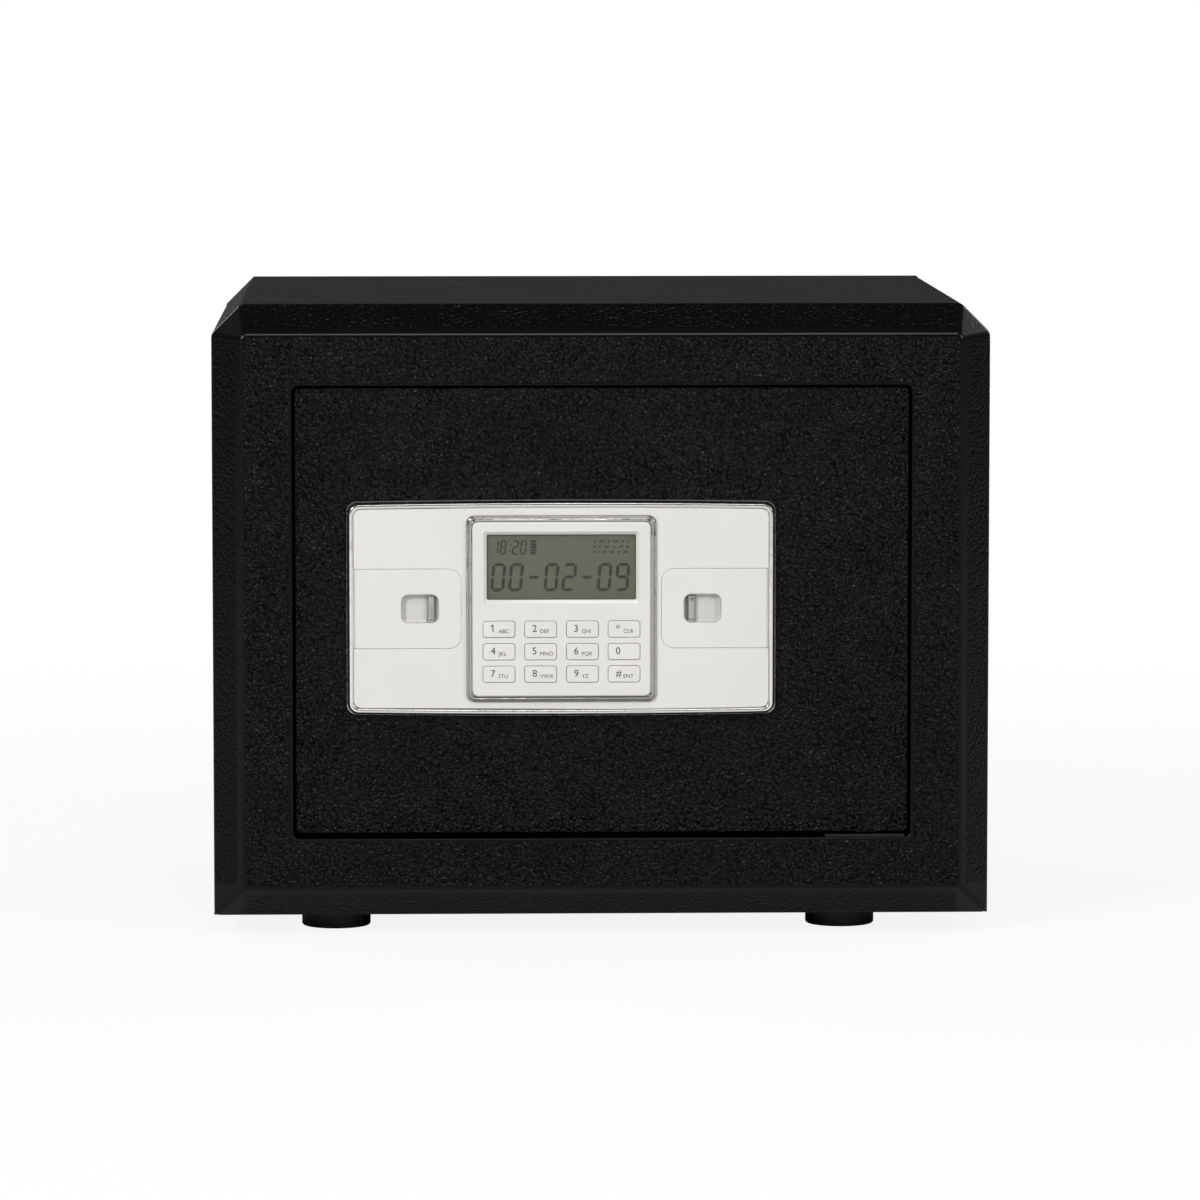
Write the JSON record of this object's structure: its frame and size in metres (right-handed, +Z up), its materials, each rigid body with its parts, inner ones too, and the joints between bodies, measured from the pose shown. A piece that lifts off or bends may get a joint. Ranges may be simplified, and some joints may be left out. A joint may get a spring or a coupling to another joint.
{
  "type": "home safe",
  "caption": "Small steel home safe with a bevelled front, a pin-hinged door, a keypad and display panel, flaps over key and power, and motor-driven bolts.",
  "frame": {"origin": "middle of the footprint, at the surface that the feet stand on", "axes": "+X to the right as one faces the door, +Y from the door to the back, +Z up"},
  "size_m": [0.38, 0.3076, 0.31],
  "materials": {
    "wrinkle_black": "black powder coat with a leather-like wrinkle",
    "zinc_plate": "bright zinc plate",
    "bright_steel": "bare turned steel",
    "black_zinc": "black passivated zinc",
    "chrome_trim": "polished plating on moulded plastic",
    "bolt_chrome": "plated solid bar",
    "pearl_silver": "pearl silver lacquer",
    "rubber_black": "matt black rubber",
    "felt": "dark needle felt",
    "clear_window": "clear polished acrylic",
    "liquid_crystal": "olive grey display glass",
    "circuit_board": "green solder mask",
    "black_plastic": "fine moulded texture",
    "brass": "machined brass",
    "cell_wrap": "plain printed sleeve",
    "red_plastic": "smooth moulded"
  },
  "bodies": {
    "body": {"body_wrapper": "wrinkle_black", "front_frame": "wrinkle_black", "back_plate": "wrinkle_black", "base_plate": "wrinkle_black", "anchor_plug_1": "rubber_black", "anchor_plug_2": "rubber_black", "foot_front_left": "rubber_black", "foot_front_right": "rubber_black", "foot_rear_left": "rubber_black", "foot_rear_right": "rubber_black", "floor_mat": "felt", "shelf": "wrinkle_black", "hinge_plate_upper": "black_zinc", "hinge_plate_lower": "black_zinc"},
    "door": {"door_plate": "wrinkle_black", "hinge_pin_upper": "black_zinc", "hinge_pin_lower": "black_zinc", "door_back_cover": "wrinkle_black", "panel_base": "chrome_trim", "panel_face": "pearl_silver", "keypad_bezel": "chrome_trim", "keypad_case": "pearl_silver", "display_window": "clear_window", "display_module": "liquid_crystal", "keypad_board": "circuit_board", "key_mat": "rubber_black", "lock_barrel": "bright_steel", "power_contacts": "black_plastic", "gear_motor": "black_plastic", "guide_stud_upper": "zinc_plate", "guide_stud_lower": "zinc_plate", "battery_tray": "black_plastic", "battery_cell_1": "cell_wrap", "battery_cell_2": "cell_wrap", "battery_cell_3": "cell_wrap", "battery_cell_4": "cell_wrap", "control_board": "circuit_board", "cable_loom": "rubber_black"},
    "boltwork": {"bolt_carriage": "zinc_plate", "bolt_upper": "bolt_chrome", "bolt_lower": "bolt_chrome"},
    "motor_shaft": {"motor_pinion": "brass"},
    "key_cylinder": {"key_plug": "brass"},
    "flap_left": {"flap_left": "pearl_silver"},
    "flap_right": {"flap_right": "pearl_silver"},
    "battery_lid": {"battery_lid": "black_plastic"},
    "reset_button": {"reset_button": "red_plastic"},
    "key_row1_column1": {"key_row1_column1": "pearl_silver"},
    "key_row1_column2": {"key_row1_column2": "pearl_silver"},
    "key_row1_column3": {"key_row1_column3": "pearl_silver"},
    "key_row1_column4": {"key_row1_column4": "pearl_silver"},
    "key_row2_column1": {"key_row2_column1": "pearl_silver"},
    "key_row2_column2": {"key_row2_column2": "pearl_silver"},
    "key_row2_column3": {"key_row2_column3": "pearl_silver"},
    "key_row2_column4": {"key_row2_column4": "pearl_silver"},
    "key_row3_column1": {"key_row3_column1": "pearl_silver"},
    "key_row3_column2": {"key_row3_column2": "pearl_silver"},
    "key_row3_column3": {"key_row3_column3": "pearl_silver"},
    "key_row3_column4": {"key_row3_column4": "pearl_silver"}
  },
  "joints": [
    {"name": "door_hinge", "type": "hinge", "parent": "body", "child": "door", "pos_m": [0.129, -0.1374, 0.16], "axis": [0, 0, 1], "range_deg": [0, 100]},
    {"name": "bolt_slide", "type": "slide", "parent": "door", "child": "boltwork", "axis": [-1, 0, 0], "range_m": [0, 0.018]},
    {"name": "motor_turn", "type": "hinge", "parent": "door", "child": "motor_shaft", "pos_m": [-0.008, -0.1202, 0.16688], "axis": [0, -1, 0], "range_deg": [0, 150.3]},
    {"name": "key_turn", "type": "hinge", "parent": "door", "child": "key_cylinder", "pos_m": [-0.09495, -0.1202, 0.1623], "axis": [0, -1, 0], "range_deg": [0, 90.2]},
    {"name": "flap_left_hinge", "type": "hinge", "parent": "door", "child": "flap_left", "pos_m": [-0.1192, -0.1481, 0.1623], "axis": [0, 0, -1], "range_deg": [0, 100]},
    {"name": "flap_right_hinge", "type": "hinge", "parent": "door", "child": "flap_right", "pos_m": [0.0792, -0.1481, 0.1623], "axis": [0, 0, 1], "range_deg": [0, 100]},
    {"name": "battery_lid_slide", "type": "slide", "parent": "door", "child": "battery_lid", "axis": [1, 0, 0], "range_m": [0, 0.01]},
    {"name": "reset_press", "type": "slide", "parent": "door", "child": "reset_button", "axis": [0, -1, 0], "range_m": [0, 0.0015], "stiffness_N_per_m": 400},
    {"name": "key_row1_column1_press", "type": "slide", "parent": "door", "child": "key_row1_column1", "axis": [0, 1, 0], "range_m": [0, 0.0007], "stiffness_N_per_m": 500},
    {"name": "key_row1_column2_press", "type": "slide", "parent": "door", "child": "key_row1_column2", "axis": [0, 1, 0], "range_m": [0, 0.0007], "stiffness_N_per_m": 500},
    {"name": "key_row1_column3_press", "type": "slide", "parent": "door", "child": "key_row1_column3", "axis": [0, 1, 0], "range_m": [0, 0.0007], "stiffness_N_per_m": 500},
    {"name": "key_row1_column4_press", "type": "slide", "parent": "door", "child": "key_row1_column4", "axis": [0, 1, 0], "range_m": [0, 0.0007], "stiffness_N_per_m": 500},
    {"name": "key_row2_column1_press", "type": "slide", "parent": "door", "child": "key_row2_column1", "axis": [0, 1, 0], "range_m": [0, 0.0007], "stiffness_N_per_m": 500},
    {"name": "key_row2_column2_press", "type": "slide", "parent": "door", "child": "key_row2_column2", "axis": [0, 1, 0], "range_m": [0, 0.0007], "stiffness_N_per_m": 500},
    {"name": "key_row2_column3_press", "type": "slide", "parent": "door", "child": "key_row2_column3", "axis": [0, 1, 0], "range_m": [0, 0.0007], "stiffness_N_per_m": 500},
    {"name": "key_row2_column4_press", "type": "slide", "parent": "door", "child": "key_row2_column4", "axis": [0, 1, 0], "range_m": [0, 0.0007], "stiffness_N_per_m": 500},
    {"name": "key_row3_column1_press", "type": "slide", "parent": "door", "child": "key_row3_column1", "axis": [0, 1, 0], "range_m": [0, 0.0007], "stiffness_N_per_m": 500},
    {"name": "key_row3_column2_press", "type": "slide", "parent": "door", "child": "key_row3_column2", "axis": [0, 1, 0], "range_m": [0, 0.0007], "stiffness_N_per_m": 500},
    {"name": "key_row3_column3_press", "type": "slide", "parent": "door", "child": "key_row3_column3", "axis": [0, 1, 0], "range_m": [0, 0.0007], "stiffness_N_per_m": 500},
    {"name": "key_row3_column4_press", "type": "slide", "parent": "door", "child": "key_row3_column4", "axis": [0, 1, 0], "range_m": [0, 0.0007], "stiffness_N_per_m": 500}
  ],
  "couplings": [
    {"joint": "motor_turn", "follows": "bolt_slide", "rad_per_m": 145.44},
    {"joint": "key_turn", "follows": "bolt_slide", "rad_per_m": 87.266}
  ]
}
